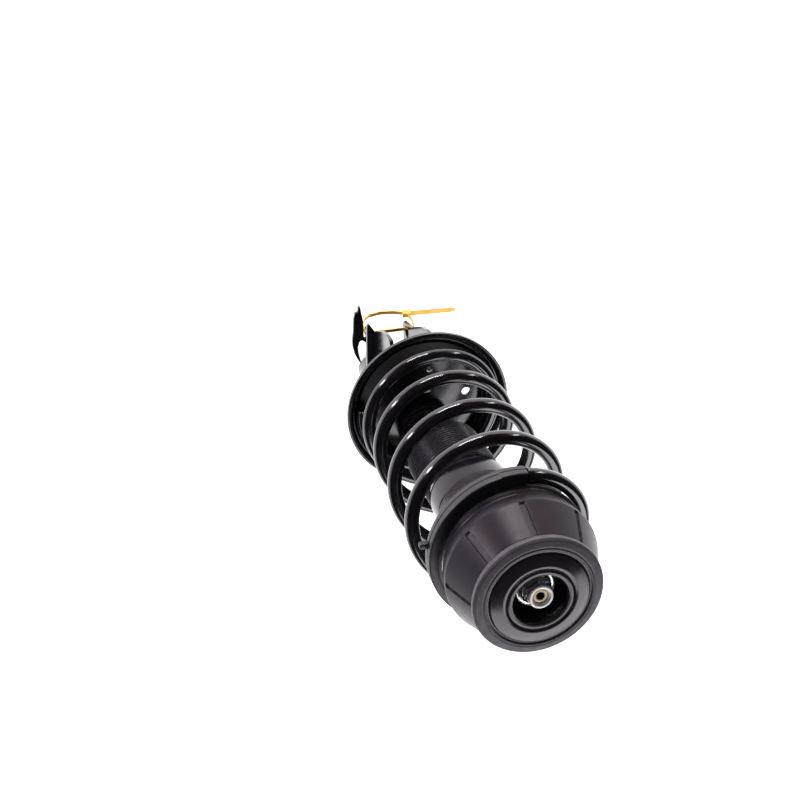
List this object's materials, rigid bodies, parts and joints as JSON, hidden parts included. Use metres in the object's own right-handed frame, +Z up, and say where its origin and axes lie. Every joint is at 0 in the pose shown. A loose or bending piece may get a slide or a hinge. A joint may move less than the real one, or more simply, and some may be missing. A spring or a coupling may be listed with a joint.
{
  "type": "strut assembly",
  "caption": "MacPherson suspension strut with coil spring on offset seats, dust boot, steering bearing, conical top mount and a two-bolt knuckle bracket.",
  "frame": {"origin": "midway between the two knuckle bolt holes", "axes": "+X along the knuckle bolts, +Y from the damper towards the knuckle, +Z up along the damper"},
  "size_m": [0.1672, 0.1817, 0.5237],
  "materials": {
    "black_paint": "gloss black",
    "spring_coat": "gloss black powder coat",
    "disc_paint": "satin black",
    "rubber": "matt black",
    "mount_skin": "satin black, moulded",
    "boot_rubber": "semi-gloss black",
    "bump_foam": "matt foam",
    "zinc": "bright zinc",
    "plain_steel": "machined",
    "rod_chrome": "hard chrome",
    "nylon": "natural nylon",
    "tie_nylon": "translucent yellow"
  },
  "bodies": {
    "strut_body": {"damper_tube": "black_paint", "tube_base": "black_paint", "pressure_cylinder": "plain_steel", "base_valve": "plain_steel", "rod_guide": "plain_steel", "rod_seal": "rubber", "bump_cap": "black_paint", "lower_spring_seat": "black_paint", "lower_isolator": "rubber", "coil_spring": "spring_coat", "knuckle_bracket": "black_paint", "hose_bracket": "black_paint", "cable_tie": "tie_nylon"},
    "upper_seat": {"upper_spring_seat": "black_paint", "upper_isolator": "rubber", "lower_race": "plain_steel", "dust_boot": "boot_rubber", "bump_stop": "bump_foam"},
    "bearing_cage": {"ball_cage": "nylon", "bearing_balls": "plain_steel"},
    "top_mount": {"upper_race": "plain_steel", "mount_housing": "mount_skin", "mount_rubber": "rubber", "top_disc": "disc_paint", "disc_rim": "mount_skin"},
    "rod": {"piston_rod": "rod_chrome", "piston": "plain_steel", "piston_band": "nylon", "piston_nut": "plain_steel", "rebound_stop": "rubber", "inner_sleeve": "plain_steel", "cup_washer": "zinc", "top_nut": "zinc", "nut_insert": "nylon"}
  },
  "joints": [
    {"name": "travel", "type": "slide", "parent": "strut_body", "child": "upper_seat", "axis": [0, 0, -1], "range_m": [0, 0.1], "stiffness_N_per_m": 24000, "springref_m": -0.04, "deforming": ["coil_spring", "dust_boot"]},
    {"name": "steer", "type": "hinge", "parent": "upper_seat", "child": "top_mount", "pos_m": [0, -0.0485, 0.4215], "axis": [0, -0.0872, 0.9962], "range_deg": [-38, 38]},
    {"name": "rod_turn", "type": "hinge", "parent": "upper_seat", "child": "rod", "pos_m": [0, -0.0485, 0.4215], "axis": [0, 0, 1], "range_deg": [-38, 38]},
    {"name": "cage_turn", "type": "hinge", "parent": "upper_seat", "child": "bearing_cage", "pos_m": [0, -0.0485, 0.4215], "axis": [0, -0.0872, 0.9962], "range_deg": [-19, 19]}
  ],
  "couplings": [
    {"joint": "rod_turn", "follows": "steer", "ratio": 1},
    {"joint": "cage_turn", "follows": "steer", "ratio": 0.5}
  ]
}
